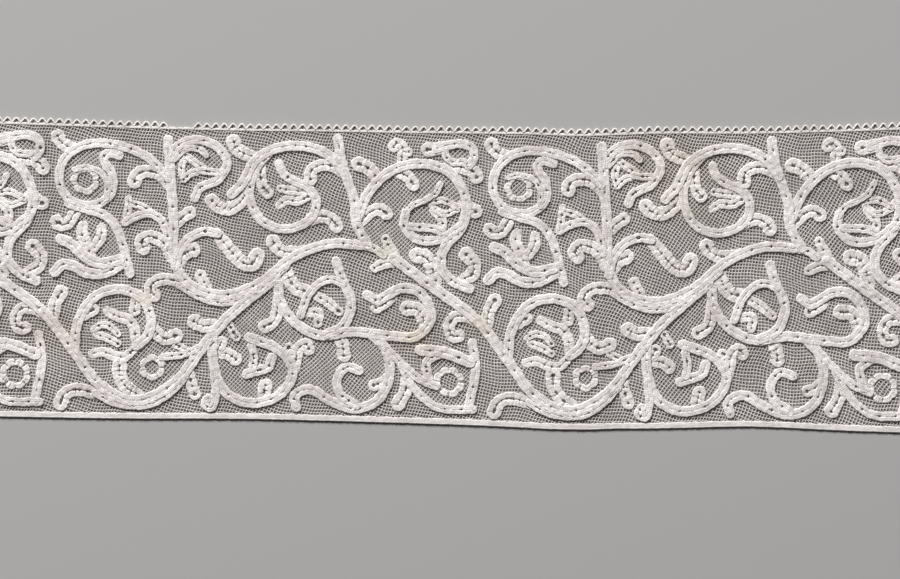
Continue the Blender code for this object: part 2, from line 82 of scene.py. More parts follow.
# The net, in millimetres and degrees: its pitch and thread, how far it runs under the braids, foot tape and
# heading, how it bends in long and short waves and strays, and the slant of its rows.
NET_PITCH = 1.9
NET_THREAD = 0.57
NET_HEIGHT = 0.52
NET_WEAVE = 0.1
NET_UNDER_BRAID = 1.3
NET_UNDER_FOOT = 0.6
NET_UNDER_HEADING = 0.5
NET_PAST = 1.7
NET_STRAY = 0.06
NET_BEND = 1.5
BENDS_U = (8.7, 3.1)
BENDS_V = (9.3, 3.5)
SHORT_SHARE = 0.25
PITCH_SPREAD = (0.96, 1.05)
NET_SLANT = -43.0
NET_TURNS = (0.05, 0.3, 0.55, 0.8, 1.0)
TURN_STRAY = 4.0
HEAD_GROUND_V = 150.0
FOOT_GROUND_V = 16.0
NET_PIECES = 3
CROSSING_FULLNESS = 1.12
SPAN_FULLNESS = 0.86

# The braids, in millimetres: how much wider they look than charted, how far their strands lap in the middle,
# the pinholes between them, far apart along stems and close in leaves, and how edges, tops and laps waver.
WIDER = 1.08
PETAL_WIDER = 1.05
STEM_LAP = 0.5
LEAF_LAP = 0.24
STEM_PINHOLE = 1.95
LEAF_PINHOLE = 2.4
PINHOLE_SPREAD = 0.8
PINHOLE_SIZES = (0.55, 1.3)
PINHOLE_MOST = 0.4
LEAF_PINS = 3.1
STEM_PINS = 15.0
JUNCTION_PINS = (5.5, 6.5)
FIRST_PIN = 0.6
LAST_PIN = 0.3
PIN_STRAY = 0.4
EDGE_SCALLOP = 0.16
EDGE_STRAY = 0.42
EDGE_WAVES = (2.3, 4.1, 9.7)
UNEVEN = 0.13
TOP_WAVES = (2.6, 4.3, 9.0)
LAP_UNEVEN = 0.9
LAP_WAVES = (3.3, 7.7, 15.0)
THREAD_STRAY = 0.05

# How many of the stems the first of their two pieces holds.
STEM_SPLIT = 12

# Leaves and petals, in shares of their length and half width: where a leaf is fully open, how wide both are
# at the root, how much they swell, and where a leaf's tip swells again.
LEAF_OPENS = 0.35
LEAF_ROOT = 0.72
LEAF_SWELL = 0.26
TIP_AT = 0.95
TIP_SPREAD = 0.14
TIP_SWELL = 0.1
PETAL_SPAN = (0.15, 0.9)
PETAL_ROOT = 0.8
PETAL_SWELL = 0.28

# A strip's rounded ends: angles at which rings are set, and the share of the height that the very end keeps.
END_ANGLES = (25, 48, 68, 82)
END_HEIGHT = 0.45

# Rosettes, in shares of the ring's width: how far its edge reaches between petals and at them, how blunt and
# uneven the petals are, its open eye, and the creases and pinholes between petals.
PETAL_STEPS = 22
PETAL_VALLEY = 0.22
PETAL_REACH = 0.36
PETAL_BLUNT = 0.55
PETAL_LENGTHS = (0.75, 1.2)
EYE_REACH = 0.36
EYE_STRAY = 0.06
EYE_WAVES = (4.3, 7.9)
RING_WAVES = (2.1, 3.1, 7.0)
CREASE_DEPTH = 0.3
CREASE_INNER = 0.6
CREASE_SPREAD = 0.5
ROSETTE_PINHOLE = 0.75
ROSETTE_PIN_OUT = 0.1

# The foot tape and the edging, in millimetres: the loops' thread, how round their tips are, where their
# middle line starts, how far it reaches, how much it rises at crossings, how uneven and leaning they are,
# and the bulges of their twisted thread in shares of its radius.
FOOT_WIDER = 0.2
END_INSET = 0.9
HEADING_WIDER = 0.25
HEADING_DROP = 0.1
LOOP_THREAD = 1.2
LOOP_ROUND = 0.2
LOOP_ROOT = 0.35
LOOP_REACH = LOOP_HEIGHT - LOOP_THREAD / 2 + 0.1
LOOP_CROSS = 0.1
LOOP_STEPS = 16
LOOP_UNEVEN = 0.1
LOOP_LEAN = 0.35
LOOP_WAVES = (5.9, 13.1, 31.0)
LEAN_SHIFT = 40
TWIST_PITCH = 1.9
CORD_SIDES = 10
CORD_MEAN = 0.92
CORD_BULGE = 0.1
CORD_UNEVEN = 0.05

# Steps along lines, in millimetres, how far past the cut ends a braid is drawn before it is cut, and the
# fewest points that make a run.
SAMPLE = 0.5
STEM_STEP = 1.0
LEAF_STEP = 0.7
FOOT_STEP = 1.2
THREAD_STEP = 0.4
EDGE_STEP = 20.0
CUT_MARGIN = 2.5
SHORTEST_RUN = 4

# The cells in which the open ground between braids is found, how many of them a braid's half width spans,
# how deep inside a braid a cell counts before any line reaches it, and the depth where open ground starts.
CELL = 0.5
CELL_REACH = 12
FAR_OUTSIDE = -9.0
OPEN_GROUND = -0.15

# The table, and where the camera hangs, in metres: from there its lens takes in 540 mm of the band.
TABLE_COLOUR = "B0AEAC"
TABLE_HALF = 3.0
CAMERA_Y = -0.00907
CAMERA_HEIGHT = 1.5
LENS = 100.0

# Patterns of the linen, in cells a metre: mottles of 3 mm and 20 mm, and fuzz of half a millimetre. A wave
# texture of scale 1 repeats every WAVE_PERIOD. At DARKEST and LIGHTEST the sum of mottle and streaks gives
# its dark and its light colour, and the shares are those of slubs and weave in its relief.
FINE_MOTTLE = 330.0
BROAD_MOTTLE = 48.0
FUZZ = 1800.0
WAVE_PERIOD = 0.314
DARKEST = 1.2
LIGHTEST = 1.75
SLUB_SHARE = 4.0
WEAVE_SHARE = 0.5

# Tints of age: u, v and radius in millimetres, the colour that the linen is multiplied by, and its strength.
STAIN_HEIGHT = 0.8
STAINS = (
    (247, 52, 18, "F4ECD0", 0.5),
    (289, 61, 12, "F4ECD0", 0.4),
    (88, 73, 12, "F5EED6", 0.4),
    (402, 150, 38, "F4EFDA", 0.5),
    (230, 104, 18, "EDF0DC", 0.5),
    (33, 48, 24, "F0E6D4", 0.45),
)

# The band's two edges: u, then the y of the foot line and of the head line, in millimetres.
EDGES = (
    (-20, -83.2, 93.4),
    (0, -83.4, 93.0),
    (72, -84.6, 90.6),
    (144, -84.8, 88.8),
    (198, -86.0, 88.2),
    (252, -87.6, 87.3),
    (288, -88.8, 87.0),
    (324, -90.6, 86.4),
    (342, -91.6, 85.4),
    (360, -90.8, 85.8),
    (396, -90.6, 87.0),
    (450, -89.4, 87.0),
    (504, -91.8, 88.2),
    (540, -93.0, 89.4),
    (560, -93.4, 89.8),
)

# Stems: width, and the stations (u, v) that a smooth curve joins.
STEMS = (
    (6.0, ((217, 107), (198, 107.5), (176, 99), (156, 83), (134, 75.5), (114, 81.5), (105, 96),
           (104.5, 118), (102.5, 150), (101, 169))),
    (4.5, ((108, 81), (118, 75), (130, 71), (142, 72), (158, 81.5), (172, 93.5))),
    (5.0, ((214, 107), (224, 105.5), (230, 101.5))),
    (6.5, ((236, 99.5), (262, 81), (286, 63.5), (304, 41), (320, 20.5), (341, 11), (365, 22), (382, 44),
           (397, 62), (425, 86))),
    (4.5, ((57, 15.5), (68, 10), (80, 8), (92, 9.5), (103, 16.5), (111, 25))),
    (5.5, ((101, 146), (88, 158.5), (67, 165.5), (50, 164), (38.5, 155), (36, 141), (43, 130.5),
           (57, 128.5), (67, 136), (67.5, 147.5), (63.5, 153.5), (62.5, 157.5), (66, 160), (72, 158.5))),
    (3.6, ((64, 132.5), (64.5, 139), (63, 145.5), (58, 149.8), (51, 150.8), (45, 149.5))),
    (5.5, ((41, 129), (53, 125.5), (63, 122.5), (69.5, 116), (73.5, 106.5), (76, 97), (78.5, 87.5))),
    (6.5, ((73, 93), (62, 87.5), (52, 87.5), (44, 91.5), (38, 92.2), (33, 87.5))),
    (6.5, ((72, 96), (60, 93.5), (50, 98), (43, 104.5), (36.5, 107.5))),
    (5.5, ((102.5, 158), (107, 165.5), (118, 169.5), (130, 165.5), (136.5, 156), (131, 145.5), (120, 140),
           (117, 134))),
    (4.0, ((104.5, 157), (112, 163.8), (120, 163.5), (124, 160))),
    (4.5, ((134, 150), (127, 150), (120, 151))),
    (5.0, ((102, 105), (100, 114), (96.5, 120.5), (91, 124), (85.5, 123.5), (80.5, 121.5),
           (75.5, 118.5))),
    (5.5, ((105.5, 92), (107.5, 101), (113.5, 109.5), (123, 113.8), (131, 112.5))),
    (6.0, ((203, 171), (205.5, 156), (213, 133), (214, 120), (221, 107))),
    (6.0, ((207, 149.5), (199, 160), (184, 166.2), (166, 165), (153, 157), (146, 144), (139, 136.5))),
    (5.5, ((163, 164), (153.5, 152), (150, 136), (157, 121), (171, 116), (186, 122), (190, 133),
           (185, 141.5), (176, 145.5), (170, 150), (167.5, 156))),
    (6.0, ((214.5, 124), (222, 140), (236, 153), (254, 157), (271, 151), (280, 134), (277, 119),
           (266.5, 106), (265, 95), (271, 87), (282, 82))),
    (5.5, ((277, 120), (264, 111.5), (250, 111.5), (242.5, 119.5), (243.5, 127))),
    (3.8, ((243, 125.5), (246.5, 131), (255, 135), (261, 139), (264.5, 145))),
    (5.0, ((246, 119), (254, 118.5), (260, 118), (265, 116))),
    (5.5, ((262, 166), (268, 168), (275.5, 169.3), (283, 167), (284.5, 161), (281, 156))),
    (4.5, ((267, 166), (268, 161), (272.5, 158), (278.5, 158.5))),
    (6.0, ((167, 84), (168.5, 72), (177, 59.5), (192, 52), (212, 54.5), (236, 52.5), (250, 53), (259, 65),
           (252, 79), (241, 81.5), (233, 77.5), (226.5, 74), (220.5, 77))),
    (6.0, ((196, 52.5), (206, 58), (211, 72), (205, 87), (202, 97))),
    (5.0, ((206, 83.5), (198, 86), (191, 83), (185, 76), (180.5, 64))),
    (6.0, ((222, 54), (231, 45), (234, 30), (227, 14), (213, 8), (198, 12.5), (186, 19), (177, 15),
           (178, 8))),
    (5.5, ((214, 10), (204, 17), (202.5, 26), (208, 33), (216, 31))),
    (5.0, ((225, 53), (240, 37), (252, 27), (262, 23))),
    (5.0, ((241, 35), (248, 22), (262, 10.5), (284, 9.5))),
    (7.0, ((252.5, 44.5), (266, 43.5), (282, 38))),
    (5.5, ((264, 43), (256, 37), (258, 25.5))),
    (5.5, ((283.5, 50), (285.5, 34), (281, 10))),
    (6.0, ((45, 41), (47, 58), (58, 74), (73, 78), (86, 72), (91, 59), (88.5, 50), (82, 44))),
    (6.0, ((128, 52), (128, 36), (135, 17), (150, 10), (168, 15.5), (176, 30), (168, 42), (149.5, 50))),
    (5.0, ((128.5, 28), (129.5, 14), (127, 6.9), (122.8, 9), (125, 13))),
    (6.0, ((163.5, 38), (161, 32), (154, 29.5), (148, 27.5))),
    (5.0, ((151, 45), (152.5, 38), (151.5, 31))),
    (4.5, ((119, 43), (109, 39), (97, 37.5))),
)

# Petals and the arms of open calyxes, as the stems are given.
PETALS = (
    (6.0, ((239, 98), (234.5, 105), (231.5, 111))),
    (6.0, ((238, 97), (231, 96.5), (225, 93.5))),
    (4.0, ((92, 124), (85, 128.5), (79, 130))),
    (4.2, ((77.5, 133), (77, 126), (75.5, 118))),
    (4.2, ((122, 152.5), (116.5, 156), (111.5, 160))),
    (4.2, ((121, 150.5), (115, 149), (110.5, 145))),
    (4.0, ((111.5, 159.5), (109, 152), (110.5, 145))),
    (6.5, ((50, 116), (49.5, 111), (53, 103), (56, 94))),
    (6.0, ((61, 115), (61, 110), (57, 103))),
    (5.0, ((182, 139), (175, 139.5), (168.5, 140.5))),
    (5.0, ((167.5, 130.5), (172, 133.5), (179, 133), (185, 136))),
    (3.8, ((258, 134), (266, 135), (274.5, 131.3))),
    (3.8, ((259, 131.5), (266, 127), (274.5, 129.8))),
    (5.0, ((260, 129), (265.5, 122.5), (265, 116))),
    (5.5, ((188, 77), (196, 72.5), (203.5, 66.5))),
    (5.5, ((185, 65.5), (191, 65.5), (191, 59))),
    (6.0, ((64.5, 65), (70, 62), (77.5, 59.5), (81, 54), (81.5, 46.5))),
    (4.0, ((56, 53.5), (61, 56.5), (66.5, 55.5), (71, 51))),
    (4.5, ((58, 50.5), (64, 48.8), (71, 45.3))),
    (5.5, ((55.5, 39), (62, 40.2), (69, 37.8), (75.5, 37.5), (80, 41.5))),
)

# Leaves: width, and the stations (u, v) from the root to the middle of the curled tip.
LEAVES = (
    (8.0, ((45, 162.5), (40, 163.5), (36, 166.5), (35, 169))),
    (8.0, ((102, 140), (97, 147), (91, 149.5), (85.5, 149), (82, 146.5), (81, 143))),
    (8.0, ((103, 97), (100, 104.5), (94.5, 109), (88.5, 110), (85, 106.5), (86.5, 103))),
    (7.5, ((105, 117), (109.5, 122), (114, 125))),
    (9.0, ((130, 113), (135, 106.5), (140, 100.5), (146, 95), (151.5, 94.5), (154.5, 99.5))),
    (8.5, ((108, 95), (111, 100), (116, 102.5))),
    (7.5, ((112, 80.5), (106, 83.5), (98, 84.5), (92, 82), (90.5, 77.5), (93, 74.5))),
    (8.0, ((60, 14), (52, 16.5), (44, 17), (38.5, 13.5), (36.5, 8.5))),
    (8.5, ((84, 14.5), (77, 18), (72.5, 25), (72, 32))),
    (7.0, ((113, 33), (114.5, 24), (117, 15.5))),
    (4.5, ((113, 41), (106, 45))),
    (7.0, ((48, 60), (52, 63), (56, 65.5))),
    (6.5, ((84, 76), (81.5, 70.5), (81, 65.5))),
    (8.0, ((91, 58), (94.5, 51.5), (100, 48.5), (106, 50.5))),
    (7.5, ((47, 127), (44, 121.5), (41, 117), (36, 116), (34, 118))),
    (8.0, ((148, 138), (144, 131.5), (137.5, 127.5), (131, 129), (127.5, 132.5))),
    (5.0, ((138, 131), (133.5, 126.5))),
    (7.0, ((157, 156), (156.5, 148), (158, 141.5), (160.5, 138))),
    (8.5, ((152, 160), (146.5, 161.5), (142, 164.5), (140.5, 168.5))),
    (8.0, ((183, 119), (188.5, 123), (195, 124), (200, 121.5), (202, 118.5))),
    (7.5, ((206, 150), (199.5, 154.5), (192.5, 155), (187, 151.5), (186.5, 146.5))),
    (8.0, ((186, 104), (177, 102), (170, 102.5), (165.5, 105.5), (164, 108.5))),
    (8.0, ((268, 155.5), (277, 155), (284, 152.5), (286, 149.5))),
    (8.0, ((269, 168), (262, 166), (257, 165.5))),
    (6.5, ((241, 156), (241.5, 162), (241.5, 167), (238, 169), (236.5, 167))),
    (5.0, ((241, 163), (245, 164))),
    (8.5, ((227, 146.5), (223.5, 151.5), (219.5, 154.5), (215.5, 156))),
    (7.5, ((217, 121), (222, 127), (228, 129), (232, 126.5))),
    (7.5, ((238, 151.5), (244, 149.5), (248, 144.5))),
    (7.5, ((277, 133), (282, 131), (285.5, 128.5))),
    (8.5, ((277, 87.5), (283.5, 91), (284.5, 97), (280, 102.5))),
    (9.0, ((262, 86), (259, 95), (255.5, 100.5), (250.5, 101.5))),
    (7.0, ((287, 61), (280, 65), (273, 65), (269.5, 59), (271.5, 53.5), (275.5, 53.5))),
    (8.0, ((292.5, 60), (293.5, 69), (297, 75.5))),
    (6.5, ((236, 76), (230, 71.5), (226, 69.5))),
    (8.5, ((255, 57), (254, 64), (250.5, 69), (244.5, 69.5))),
    (6.5, ((234, 29), (229, 24.5), (224.5, 22.5))),
    (8.0, ((203, 51), (206, 46), (206.5, 40.5))),
    (8.0, ((244, 30), (243.5, 20), (239, 11.5))),
    (7.5, ((167, 76), (166.5, 66), (164.5, 60), (159, 56.5))),
    (8.5, ((172, 92), (174, 85), (178, 80), (183, 78.5))),
    (8.5, ((130, 57.5), (122, 56.5), (117, 59))),
    (5.0, ((136, 61), (139, 55), (142, 50))),
    (7.0, ((177, 29), (178, 37.5), (179.5, 44), (183.5, 46.5), (185.5, 43.5))),
    (5.5, ((179, 41), (173.5, 44))),
    (7.5, ((131, 40), (137, 39.5), (141.5, 36.5))),
    (7.0, ((130.5, 41), (133, 46.5))),
    (8.0, ((158, 13), (159.5, 20.5))),
    (6.5, ((126, 76.5), (123, 82.5), (120.5, 87))),
)

# Open-centred rosettes: centre u, centre v, ring radius, ring width, petals.
ROSETTES = (
    (51.3, 143.2, 6.3, 4.6, 7),
    (269.5, 25.8, 6.8, 4.8, 8),
    (91.5, 31, 5.6, 4.6, 6),
)


def smooth(stations):
    """A smooth curve through the stations, a centripetal Catmull-Rom spline, in steps of about SAMPLE."""
    p = np.array(stations, float)
    p = np.vstack([2 * p[0] - p[1], p, 2 * p[-1] - p[-2]])
    runs = []
    for a, b, c, d in zip(p[:-3], p[1:-2], p[2:-1], p[3:]):
        t0 = 0.0
        t1 = t0 + math.sqrt(np.linalg.norm(b - a))
        t2 = t1 + math.sqrt(np.linalg.norm(c - b))
        t3 = t2 + math.sqrt(np.linalg.norm(d - c))
        count = max(2, int(np.linalg.norm(c - b) / SAMPLE))
        t = np.linspace(t1, t2, count, endpoint=False)[:, None]
        ab = ((t1 - t) * a + (t - t0) * b) / (t1 - t0)
        bc = ((t2 - t) * b + (t - t1) * c) / (t2 - t1)
        cd = ((t3 - t) * c + (t - t2) * d) / (t3 - t2)
        abc = ((t2 - t) * ab + (t - t0) * bc) / (t2 - t0)
        bcd = ((t3 - t) * bc + (t - t1) * cd) / (t3 - t1)
        runs.append(((t2 - t) * abc + (t - t1) * bcd) / (t2 - t1))
    return np.vstack(runs + [p[-2:-1]])


def leaf_halves(width, count):
    """Half a leaf's width along it: narrow at its root, opened as a quarter sine over its first third, and
    fullest in its curled tip, where a Gaussian is added."""
    share = np.linspace(0, 1, count)
    opening = np.sin(math.pi / 2 * np.minimum(1, share / LEAF_OPENS))
    tip = np.exp(-((share - TIP_AT) / TIP_SPREAD) ** 2)
    return width / 2 * (LEAF_ROOT + LEAF_SWELL * opening + TIP_SWELL * tip)


def distance_along(line):
    """The distance of each point of a line from its start."""
    return np.concatenate([[0.0], np.cumsum(np.linalg.norm(np.diff(line, axis=0), axis=1))])


def respaced(line, step, *values):
    """The line and each row of values along it, read again at even steps."""
    along = distance_along(line)
    count = max(3, int(round(along[-1] / step)) + 1)
    at = np.linspace(0, along[-1], count)
    read = [np.interp(at, along, row) for row in (*line.T, *values)]
    return np.stack(read[:2], axis=1), *read[2:]


def left_of(line):
    """The unit vector to the left of a line, or of each line of a lattice, at each of its points."""
    ahead = np.gradient(line, axis=0)
    ahead /= np.linalg.norm(ahead, axis=-1, keepdims=True)
    return np.stack([-ahead[..., 1], ahead[..., 0]], axis=-1)


def edge_lines():
    """The foot and head lines as straight runs of EDGE_STEP between places read from smooth curves."""
    table = np.array(EDGES, float)
    foot = smooth(table[:, [0, 1]])
    head = smooth(table[:, [0, 2]])
    u = np.arange(FIRST_U, FIRST_U + LENGTH + EDGE_STEP / 2, EDGE_STEP)
    return u, np.interp(u, foot[:, 0], foot[:, 1]), np.interp(u, head[:, 0], head[:, 1])


EDGE_U, EDGE_FOOT, EDGE_HEAD = edge_lines()
LOWEST_Y = float((EDGE_FOOT + (EDGE_HEAD - EDGE_FOOT) * TAPE_FOOT_V / DEPTH).min())
SHIFT_Y = 1000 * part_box("foot_tape")[0][1] - LOWEST_Y


def on_table(points):
    """Chart points (u, v, z) in millimetres as places in the frame in metres: v runs from foot line to head
    line."""
    u, v, z = points[:, 0], points[:, 1], points[:, 2]
    low = np.interp(u, EDGE_U, EDGE_FOOT)
    high = np.interp(u, EDGE_U, EDGE_HEAD)
    y = low + (high - low) * v / DEPTH + SHIFT_Y
    return np.stack([u - FIRST_U - LENGTH / 2, y, z], axis=1) / 1000


def repeats(line):
    """How far to shift a charted line for each repeat that lies on the band."""
    shifts = REPEAT * np.arange(-2, 3)
    low = FIRST_U - line[:, 0].max() < shifts
    return shifts[low & (shifts < FIRST_U + LENGTH - line[:, 0].min())]


def waver(along, seed, lengths):
    """An uneven wave within 1 of 0, the mean of sines of the given lengths with seeded phases."""
    phase = np.random.default_rng(seed).uniform(0, 2 * math.pi, len(lengths))
    return np.mean([np.sin(2 * math.pi * along / long + p) for long, p in zip(lengths, phase)], axis=0)


def faces_round(rings, around, closed=False):
    """Faces over rings of points in order: quads from each ring to the next, then a cap over each end, or
    quads from the last ring back to the first where the rings close."""
    ring = np.arange(rings if closed else rings - 1)[:, None] * around
    onward = (ring + around) % (rings * around)
    here = np.arange(around)
    after = (here + 1) % around
    quads = np.stack([ring + here, onward + here, onward + after, ring + after], axis=2).reshape(-1, 4)
    return [quads] if closed else [quads, np.stack([here, (rings - 1) * around + here[::-1]])]


def strayed(points, rng):
    """Points moved a little at random each way, and none of them below the underside."""
    points = points + rng.normal(0, THREAD_STRAY, points.shape)
    points[:, 2] = np.maximum(points[:, 2], UNDERSIDE)
    return points


def woven(line, halves, tops, section, seed, step):
    """A woven strip carried along a line: section's points (across from -1 to 1, share of the height) are
    set out to the left of each point by its half width, and up to its top. The ends are half circles, the
    edges scalloped a little, the width and height waver and each point strays. Returns points in u, v and z,
    faces as arrays of corners, and a UV map in millimetres."""
    line, halves, tops = respaced(line, step, halves, tops)
    ends = np.sin(np.radians(END_ANGLES))
    left = left_of(line)
    ahead = np.stack([left[:, 1], -left[:, 0]], axis=1)
    start = line[0] - ahead[0] * halves[0] * ends[::-1, None]
    finish = line[-1] + ahead[-1] * halves[-1] * ends[:, None]
    round_off = np.sqrt(1 - ends ** 2)
    full = np.concatenate([round_off[::-1], np.ones(len(line)), round_off])
    at = np.clip(np.arange(-len(ends), len(line) + len(ends)), 0, len(line) - 1)
    left, halves, tops = left[at], halves[at], tops[at]
    line = np.vstack([start, line, finish])
    along = distance_along(line)
    scallop = EDGE_SCALLOP * np.sin(2 * math.pi * along / NET_PITCH)
    scallop += EDGE_STRAY * waver(along, seed, EDGE_WAVES)
    halves = halves * full
    height = (tops - UNDERSIDE) * (END_HEIGHT + (1 - END_HEIGHT) * full)
    height *= 1 + UNEVEN * waver(along, seed + 1, TOP_WAVES)
    across, share = section[:, 0], section[:, 1]
    set_out = halves[:, None] * across + (full * scallop)[:, None] * np.clip(across, 0, 1)
    plan = line[:, None] + set_out[..., None] * left[:, None]
    z = UNDERSIDE + height[:, None] * share
    points = np.concatenate([plan, z[..., None]], axis=2).reshape(-1, 3)
    points = strayed(points, np.random.default_rng(seed))
    uv = np.stack([np.repeat(along, len(section)), (halves[:, None] * across).ravel()], axis=1)
    return points, faces_round(len(line), len(section)), uv


def inside_cut(line, halves):
    """The runs of a line that lie between the band's cut ends, or just past them."""
    inside = (line[:, 0] > FIRST_U - CUT_MARGIN) & (line[:, 0] < FIRST_U + LENGTH + CUT_MARGIN)
    edges = np.flatnonzero(np.diff(np.concatenate([[0], inside.astype(int), [0]])))
    for start, end in zip(edges[::2], edges[1::2]):
        if end - start > SHORTEST_RUN:
            yield line[start:end], halves[start:end]


def plaited(line, halves, pins, top, seed, step, lap, pinhole, root=1.0):
    """A tape of two strands along a line: one narrow strip that runs out along the left, round the tip, back
    along the right and round the start. The strands lap in the middle, here more and there less, and draw
    apart round the pins, which are distances along the line, as far as a Gaussian of each gives. Its top
    starts at root's share of its full height, so that it comes out from under another tape."""
    line, halves = respaced(line, SAMPLE, halves * WIDER)
    along = distance_along(line)
    sizes = np.random.default_rng(seed).uniform(*PINHOLE_SIZES, len(pins))
    near = (sizes * np.exp(-((along[:, None] - pins) / PINHOLE_SPREAD) ** 2)).max(axis=1)
    lap = lap * (1 + LAP_UNEVEN * waver(along, seed + 2, LAP_WAVES))
    inner = np.minimum(pinhole / 2 * near - lap * (1 - near), PINHOLE_MOST * halves)
    tops = top * (root + (1 - root) * np.minimum(1, along / (ROOT_RISE * along[-1])))
    offset = (halves + inner) / 2
    half = (halves - inner) / 2
    left = left_of(line)
    out = line + offset[:, None] * left
    back = (line - offset[:, None] * left)[::-1]
    turn = np.radians(np.arange(75, -90, -15))
    arcs = []
    for end, way in ((-1, 1), (0, -1)):
        ahead = way * np.array([left[end, 1], -left[end, 0]])
        beside = way * left[end]
        arc = np.outer(np.cos(turn), ahead) + np.outer(np.sin(turn), beside)
        arcs.append(line[end] + offset[end] * arc)
    path = np.vstack([out, arcs[0], back, arcs[1]])
    there_and_back = [
        np.concatenate([row, np.full(len(turn), row[-1]), row[::-1], np.full(len(turn), row[0])])
        for row in (half, tops)
    ]
    return woven(path, *there_and_back, STRAND_SECTION, seed, step)


def thread(line, z, radius, seed):
    """A two-ply cord carried along a line: a ring round each point, whose two bulges, as a cosine of twice
    the angle, turn half way round in every TWIST_PITCH."""
    line, z = respaced(line, THREAD_STEP, z)
    left = left_of(line)
    along = distance_along(line)
    angle = math.pi - np.linspace(0, 2 * math.pi, CORD_SIDES, endpoint=False)
    twist = np.cos(2 * (angle[None] - math.pi * along[:, None] / TWIST_PITCH))
    reach = radius * (CORD_MEAN + CORD_BULGE * twist)
    reach = reach * (1 + CORD_UNEVEN * waver(along, seed, (3.1, 8.7)))[:, None]
    plan = line[:, None] + (reach * np.cos(angle))[..., None] * left[:, None]
    height = z[:, None] + reach * np.sin(angle)
    points = np.concatenate([plan, height[..., None]], axis=2).reshape(-1, 3)
    uv = np.stack([np.repeat(along, CORD_SIDES), np.tile(radius * angle, len(line))], axis=1)
    return points, faces_round(len(line), CORD_SIDES), uv


def rosette(u, v, radius, width, petals, top, seed):
    """A joined ring of petals round open mesh. Its outer edge swells to each petal as a root of a sine,
    longer at some than at others, its height is a dome across, and between petals a Gaussian crease deepens
    to a pinhole."""
    rng = np.random.default_rng(seed)
    turn = np.linspace(0, 2 * math.pi, PETAL_STEPS * petals, endpoint=False)
    which = (turn / (2 * math.pi) * petals + 1e-6).astype(int)
    lobe = np.abs(np.sin(petals * turn / 2)) ** PETAL_BLUNT
    outer = radius + width * (PETAL_VALLEY + PETAL_REACH * lobe * rng.uniform(*PETAL_LENGTHS, petals)[which])
    inner = radius - width * (EYE_REACH + EYE_STRAY * waver(turn * radius, seed, EYE_WAVES))
    across, share = ROSETTE_SECTION[:, 0], ROSETTE_SECTION[:, 1]
    reach = (outer + inner)[:, None] / 2 - (outer - inner)[:, None] / 2 * across
    aside = (petals * turn / (2 * math.pi) + 0.5) % 1 - 0.5
    away = np.abs(aside)[:, None] * 2 * math.pi / petals * reach
    nearest = np.round(petals * turn / (2 * math.pi)).astype(int) % petals
    deep = rng.uniform(0.0, 1.0, petals)[nearest][:, None]
    between = np.exp(-(away / CREASE_SPREAD) ** 2)
    crease = CREASE_DEPTH * deep * between * (across < CREASE_INNER)
    out_from_pin = reach - radius - ROSETTE_PIN_OUT * width
    pinhole = ROSETTE_PINHOLE * deep * between * np.exp(-(out_from_pin / CREASE_SPREAD) ** 2)
    height = (top - UNDERSIDE) * share * (1 - crease) * (1 - pinhole)
    height *= 1 + UNEVEN * waver(turn * radius, seed + 1, RING_WAVES)[:, None]
    ahead, beside = np.cos(turn)[:, None], np.sin(turn)[:, None]
    points = np.stack([u + reach * ahead, v + reach * beside, UNDERSIDE + height], axis=2)
    points = strayed(points.reshape(-1, 3), rng)
    uv = np.stack([np.repeat(turn * radius, len(across)), (reach - radius).ravel()], axis=1)
    return points, faces_round(len(turn), len(across), closed=True), uv


# Sections of the woven strips: places across from -1 to 1 with shares of the height, then the underside.
# A strand's inner edge is at -1 and its corded outer edge at 1. A rosette's and the foot tape's outer edges
# are at -1.
STRAND_SECTION = np.array([
    (-1, 0.56), (-0.86, 0.86), (-0.5, 1.0), (0, 0.95), (0.45, 0.94), (0.78, 1.0), (1, 0.36), (0.84, 0),
    (-0.84, 0),
])
ROSETTE_SECTION = np.array([
    (-1, 0.36), (-0.9, 0.8), (-0.7, 1.0), (-0.4, 0.95), (-0.1, 0.93), (0.2, 0.95), (0.5, 1.0), (0.78, 0.92),
    (0.95, 0.7), (1, 0.36), (0.84, 0), (-0.84, 0),
])
FOOT_SECTION = np.array([
    (-1, 0.4), (-0.94, 0.82), (-0.8, 1.0), (-0.64, 0.92), (-0.4, 0.9), (-0.1, 0.96), (0.2, 0.9), (0.5, 0.92),
    (0.76, 0.9), (0.92, 0.7), (1, 0.3), (0.9, 0), (-0.9, 0),
])
HEADING_SECTION = np.array([
    (-1, 0.5), (-0.8, 0.92), (-0.4, 1.0), (0, 0.9), (0.4, 1.0), (0.8, 0.92), (1, 0.5), (0.8, 0), (-0.8, 0),
])


def pins_along(length, spacing, seed):
    """Where pinholes lie along a tape: about spacing apart, strayed by up to PIN_STRAY of it."""
    places = np.arange(spacing * FIRST_PIN, length - spacing * LAST_PIN, spacing)
    return places + spacing * PIN_STRAY * np.random.default_rng(seed).uniform(-1, 1, len(places))


def stem_parts(first, last):
    """The woven tapes of the stems from first up to last: a few pinholes far apart, and one near each end,
    where the stems join."""
    for index, (width, stations) in enumerate(STEMS[first:last]):
        line = smooth(stations)
        for shift in repeats(line):
            seed = abs(100 * (first + index) + int(shift))
            top = TAPE_TOP + STEP_UP * (index % 5)
            for run, halves in inside_cut(line + [shift, 0], np.full(len(line), width / 2)):
                length = SAMPLE * len(run)
                ends = [JUNCTION_PINS[0], length - JUNCTION_PINS[1]]
                pins = np.append(pins_along(length, STEM_PINS, seed), ends)
                yield plaited(run, halves, pins, top, seed, STEM_STEP, STEM_LAP, STEM_PINHOLE)


def leafy(run, halves, spacing, top, seed):
    """A leaf or a petal: a tape with pinholes about spacing apart and one at its tip, low at its root."""
    length = SAMPLE * len(run)
    pins = np.append(pins_along(length, spacing, seed), length)
    return plaited(run, halves, pins, top, seed, LEAF_STEP, LEAF_LAP, LEAF_PINHOLE, LEAF_ROOT_TOP)


